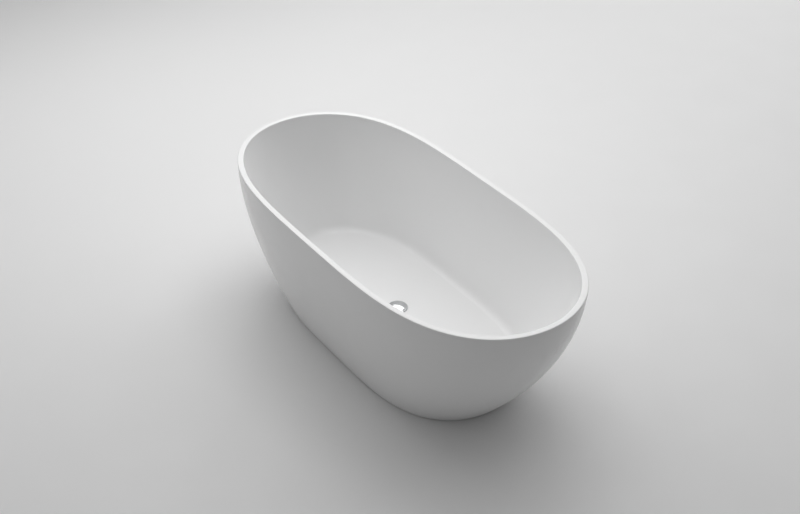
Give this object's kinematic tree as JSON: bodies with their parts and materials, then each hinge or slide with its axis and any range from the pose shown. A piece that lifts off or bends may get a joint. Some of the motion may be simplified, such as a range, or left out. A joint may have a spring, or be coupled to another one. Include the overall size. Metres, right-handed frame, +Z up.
{
  "type": "freestanding bathtub",
  "caption": "Oval freestanding bath: thin flat rim, basin and skirt shells, steel frame on screw feet, click waste and overflow.",
  "frame": {"origin": "middle of the bath's plan, on the ground under the feet", "axes": "+X along the bath, +Y across it away from the overflow, +Z up"},
  "size_m": [1.7, 0.816, 0.57],
  "materials": {
    "bath_white": "satin white acrylic",
    "board": "raw chipboard",
    "frame_paint": "black powder coat",
    "zinc": "zinc plated",
    "chrome": "polished chrome",
    "rubber": "matt black rubber",
    "black_plastic": "matt black plastic",
    "white_plastic": "matt white plastic"
  },
  "bodies": {
    "tub": {"inner_basin": "bath_white", "outer_skirt": "bath_white", "base_board": "board", "rail_left": "frame_paint", "rail_right": "frame_paint", "cross_member_1": "frame_paint", "cross_member_2": "frame_paint", "cross_member_3": "frame_paint", "cross_member_4": "frame_paint", "skirt_bracket_1": "zinc", "skirt_bracket_2": "zinc", "skirt_bracket_3": "zinc", "skirt_bracket_4": "zinc", "board_screws": "zinc", "bracket_screws": "zinc", "rail_end_caps": "black_plastic", "foot_nut_1": "zinc", "foot_nut_2": "zinc", "foot_nut_3": "zinc", "foot_nut_4": "zinc", "foot_nut_5": "zinc", "lock_nut_1": "zinc", "lock_nut_2": "zinc", "lock_nut_3": "zinc", "lock_nut_4": "zinc", "lock_nut_5": "zinc", "waste_flange": "chrome", "waste_upper_seal": "rubber", "waste_lower_seal": "rubber", "waste_body": "white_plastic", "plug_guide": "white_plastic", "click_spring": "zinc", "outlet_nut": "white_plastic", "waste_elbow": "white_plastic", "outlet_pipe": "white_plastic", "floor_elbow": "white_plastic", "overflow_cover": "chrome", "overflow_screw": "chrome", "overflow_seal": "rubber", "overflow_body": "white_plastic", "overflow_upper_nut": "white_plastic", "overflow_pipe": "white_plastic", "overflow_lower_nut": "white_plastic"},
    "plug": {"plug_cap": "chrome", "plug_seal": "rubber", "plug_stem": "chrome"},
    "foot_1": {"foot_pad_1": "black_plastic"},
    "stem_1": {"foot_stem_1": "zinc"},
    "foot_2": {"foot_pad_2": "black_plastic"},
    "stem_2": {"foot_stem_2": "zinc"},
    "foot_3": {"foot_pad_3": "black_plastic"},
    "stem_3": {"foot_stem_3": "zinc"},
    "foot_4": {"foot_pad_4": "black_plastic"},
    "stem_4": {"foot_stem_4": "zinc"},
    "foot_5": {"foot_pad_5": "black_plastic"},
    "stem_5": {"foot_stem_5": "zinc"}
  },
  "joints": [
    {"name": "plug_slide", "type": "slide", "parent": "tub", "child": "plug", "axis": [0, 0, 1], "range_m": [0, 0.008], "deforming": ["click_spring"]},
    {"name": "foot_1_height", "type": "slide", "parent": "tub", "child": "foot_1", "axis": [0, 0, 1], "range_m": [-0.0195, 0]},
    {"name": "foot_1_screw", "type": "hinge", "parent": "foot_1", "child": "stem_1", "pos_m": [-0.42769, -0.152, 0.005], "axis": [0, 0, 1], "range_deg": [-4690, 0]},
    {"name": "foot_2_height", "type": "slide", "parent": "tub", "child": "foot_2", "axis": [0, 0, 1], "range_m": [-0.0195, 0]},
    {"name": "foot_2_screw", "type": "hinge", "parent": "foot_2", "child": "stem_2", "pos_m": [-0.42769, 0.152, 0.005], "axis": [0, 0, 1], "range_deg": [-4690, 0]},
    {"name": "foot_3_height", "type": "slide", "parent": "tub", "child": "foot_3", "axis": [0, 0, 1], "range_m": [-0.0195, 0]},
    {"name": "foot_3_screw", "type": "hinge", "parent": "foot_3", "child": "stem_3", "pos_m": [0.42769, -0.152, 0.005], "axis": [0, 0, 1], "range_deg": [-4690, 0]},
    {"name": "foot_4_height", "type": "slide", "parent": "tub", "child": "foot_4", "axis": [0, 0, 1], "range_m": [-0.0195, 0]},
    {"name": "foot_4_screw", "type": "hinge", "parent": "foot_4", "child": "stem_4", "pos_m": [0.42769, 0.152, 0.005], "axis": [0, 0, 1], "range_deg": [-4690, 0]},
    {"name": "foot_5_height", "type": "slide", "parent": "tub", "child": "foot_5", "axis": [0, 0, 1], "range_m": [-0.0195, 0]},
    {"name": "foot_5_screw", "type": "hinge", "parent": "foot_5", "child": "stem_5", "pos_m": [0.1, 0, 0.005], "axis": [0, 0, 1], "range_deg": [-4690, 0]}
  ],
  "couplings": [
    {"joint": "foot_1_screw", "follows": "foot_1_height", "rad_per_m": 4188.8},
    {"joint": "foot_2_screw", "follows": "foot_2_height", "rad_per_m": 4188.8},
    {"joint": "foot_3_screw", "follows": "foot_3_height", "rad_per_m": 4188.8},
    {"joint": "foot_4_screw", "follows": "foot_4_height", "rad_per_m": 4188.8},
    {"joint": "foot_5_screw", "follows": "foot_5_height", "rad_per_m": 4188.8}
  ]
}
